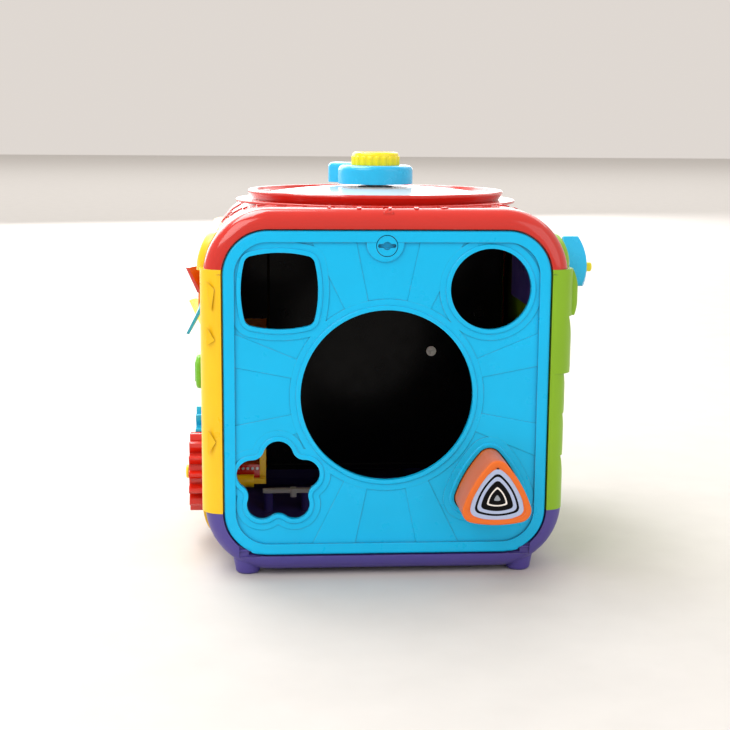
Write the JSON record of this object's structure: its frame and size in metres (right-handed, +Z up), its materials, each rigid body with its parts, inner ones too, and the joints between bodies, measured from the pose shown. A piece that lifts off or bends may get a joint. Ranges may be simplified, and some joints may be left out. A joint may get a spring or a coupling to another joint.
{
  "type": "baby activity cube",
  "caption": "Rounded cube toy with a drop-down shape-sorter door, a turning dial on top, meshed gears and spinners on its sides and a panel of keys and light buttons.",
  "frame": {"origin": "on the floor under the middle of the cube, in the plane of the feet", "axes": "+Z up, the sorter door faces -Y and the music panel +Y, the gears are on the -X side"},
  "size_m": [0.3214, 0.3, 0.3119],
  "materials": {
    "door_blue": "glossy moulded",
    "cover_red": "glossy moulded",
    "panel_yellow": "satin moulded",
    "panel_green": "satin moulded",
    "base_purple": "satin moulded",
    "hub_blue": "glossy moulded",
    "knob_yellow": "glossy moulded",
    "block_orange": "satin moulded",
    "dial_white": "high gloss printed",
    "gear_orange": "glossy moulded",
    "slider_green": "glossy moulded",
    "trim_white": "satin",
    "housing_black": "high gloss",
    "rear_orange": "glossy moulded",
    "button_clear": "translucent gloss",
    "board_green": "solder mask",
    "rubber_grey": "silicone",
    "cell_wrap": "printed sleeve",
    "steel": "plated",
    "speaker_black": "paper cone"
  },
  "bodies": {
    "cube": {"back_panel": "rear_orange", "base_tray": "base_purple", "batteries": "cell_wrap", "battery_contacts": "steel", "battery_door": "base_purple", "body_screws": "steel", "button_domes": "rubber_grey", "cable_bar": "trim_white", "circuit_board": "board_green", "dial_bush": "trim_white", "dial_plate": "dial_white", "dial_ring": "cover_red", "door_hinge_pins": "base_purple", "electronics_housing": "housing_black", "gear_axles": "knob_yellow", "gear_carrier": "panel_yellow", "gear_retainer": "cover_red", "housing_screws": "housing_black", "left_panel": "panel_yellow", "pinwheel_axle": "trim_white", "retainer_screws": "steel", "right_panel": "panel_green", "roller_axle": "steel", "roller_bracket": "base_purple", "speaker": "speaker_black", "spinner_gearbox": "base_purple", "top_cover": "cover_red", "washer_screw": "trim_white"},
    "door": {"door": "door_blue"},
    "latch": {"door_latch": "door_blue"},
    "block": {"triangle_block": "block_orange"},
    "pointer": {"pointer_hub": "hub_blue", "pointer_knob": "knob_yellow", "dial_shaft": "trim_white", "shaft_clip": "steel"},
    "pinwheel": {"blade_red": "cover_red", "blade_yellow": "knob_yellow", "blade_blue": "hub_blue", "pinwheel_hub": "block_orange"},
    "red_gear": {"red_gear": "cover_red"},
    "blue_gear": {"blue_gear": "hub_blue"},
    "orange_gear": {"orange_gear": "gear_orange"},
    "slider": {"slider_knob": "slider_green", "slider_plate": "trim_white"},
    "spinner": {"side_spinner": "hub_blue", "spinner_cap": "knob_yellow", "spinner_axle": "trim_white"},
    "roller": {"side_roller": "gear_orange"},
    "switch": {"power_switch": "base_purple"},
    "light_button": {"light_button": "button_clear"},
    "key_1": {"piano_key_1": "cover_red"},
    "key_2": {"piano_key_2": "knob_yellow"},
    "key_3": {"piano_key_3": "slider_green"},
    "key_4": {"piano_key_4": "hub_blue"},
    "key_5": {"piano_key_5": "base_purple"},
    "circle_button": {"circle_button": "cover_red"},
    "square_button": {"square_button": "knob_yellow"},
    "triangle_button": {"triangle_button": "hub_blue"},
    "flower_button": {"flower_button": "slider_green"}
  },
  "joints": [
    {"name": "door_hinge", "type": "hinge", "parent": "cube", "child": "door", "pos_m": [0, -0.1246, 0.02], "axis": [1, 0, 0], "range_deg": [0, 90]},
    {"name": "latch_turn", "type": "hinge", "parent": "door", "child": "latch", "pos_m": [-0.001, -0.125, 0.2473], "axis": [0, -1, 0], "range_deg": [0, 90]},
    {"name": "block_push", "type": "slide", "parent": "door", "child": "block", "axis": [0, 1, 0], "range_m": [-0.04, 0.06]},
    {"name": "pointer_turn", "type": "hinge", "parent": "cube", "child": "pointer", "pos_m": [0, 0, 0.29], "axis": [0, 0, 1], "continuous": true},
    {"name": "pinwheel_spin", "type": "hinge", "parent": "cube", "child": "pinwheel", "pos_m": [-0.143, 0, 0.192], "axis": [-1, 0, 0], "continuous": true},
    {"name": "red_gear_spin", "type": "hinge", "parent": "cube", "child": "red_gear", "pos_m": [-0.143, -0.028, 0.057], "axis": [-1, 0, 0], "continuous": true},
    {"name": "blue_gear_spin", "type": "hinge", "parent": "cube", "child": "blue_gear", "pos_m": [-0.143, 0.0215, 0.07293], "axis": [-1, 0, 0], "continuous": true},
    {"name": "orange_gear_spin", "type": "hinge", "parent": "cube", "child": "orange_gear", "pos_m": [-0.143, 0.0647, 0.0813], "axis": [-1, 0, 0], "continuous": true},
    {"name": "slider_slide", "type": "slide", "parent": "cube", "child": "slider", "axis": [0, 1, 0], "range_m": [-0.03, 0.03]},
    {"name": "spinner_spin", "type": "hinge", "parent": "cube", "child": "spinner", "pos_m": [0.15, -0.045, 0.224], "axis": [1, 0, 0], "continuous": true},
    {"name": "roller_spin", "type": "hinge", "parent": "cube", "child": "roller", "pos_m": [0.125, 0, 0.106], "axis": [0, 1, 0], "continuous": true},
    {"name": "switch_slide", "type": "slide", "parent": "cube", "child": "switch", "axis": [-1, 0, 0], "range_m": [0, 0.01]},
    {"name": "light_press", "type": "slide", "parent": "cube", "child": "light_button", "axis": [0, -1, 0], "range_m": [0, 0.002], "stiffness_N_per_m": 600},
    {"name": "key_1_press", "type": "slide", "parent": "cube", "child": "key_1", "axis": [0, -1, 0], "range_m": [0, 0.002], "stiffness_N_per_m": 600},
    {"name": "key_2_press", "type": "slide", "parent": "cube", "child": "key_2", "axis": [0, -1, 0], "range_m": [0, 0.002], "stiffness_N_per_m": 600},
    {"name": "key_3_press", "type": "slide", "parent": "cube", "child": "key_3", "axis": [0, -1, 0], "range_m": [0, 0.002], "stiffness_N_per_m": 600},
    {"name": "key_4_press", "type": "slide", "parent": "cube", "child": "key_4", "axis": [0, -1, 0], "range_m": [0, 0.002], "stiffness_N_per_m": 600},
    {"name": "key_5_press", "type": "slide", "parent": "cube", "child": "key_5", "axis": [0, -1, 0], "range_m": [0, 0.002], "stiffness_N_per_m": 600},
    {"name": "circle_press", "type": "slide", "parent": "cube", "child": "circle_button", "axis": [0, -1, 0], "range_m": [0, 0.002], "stiffness_N_per_m": 600},
    {"name": "square_press", "type": "slide", "parent": "cube", "child": "square_button", "axis": [0, -1, 0], "range_m": [0, 0.002], "stiffness_N_per_m": 600},
    {"name": "triangle_press", "type": "slide", "parent": "cube", "child": "triangle_button", "axis": [0, -1, 0], "range_m": [0, 0.002], "stiffness_N_per_m": 600},
    {"name": "flower_press", "type": "slide", "parent": "cube", "child": "flower_button", "axis": [0, -1, 0], "range_m": [0, 0.002], "stiffness_N_per_m": 600}
  ],
  "couplings": [
    {"joint": "blue_gear_spin", "follows": "red_gear_spin", "ratio": -1.1667},
    {"joint": "orange_gear_spin", "follows": "red_gear_spin", "ratio": 1.4}
  ]
}
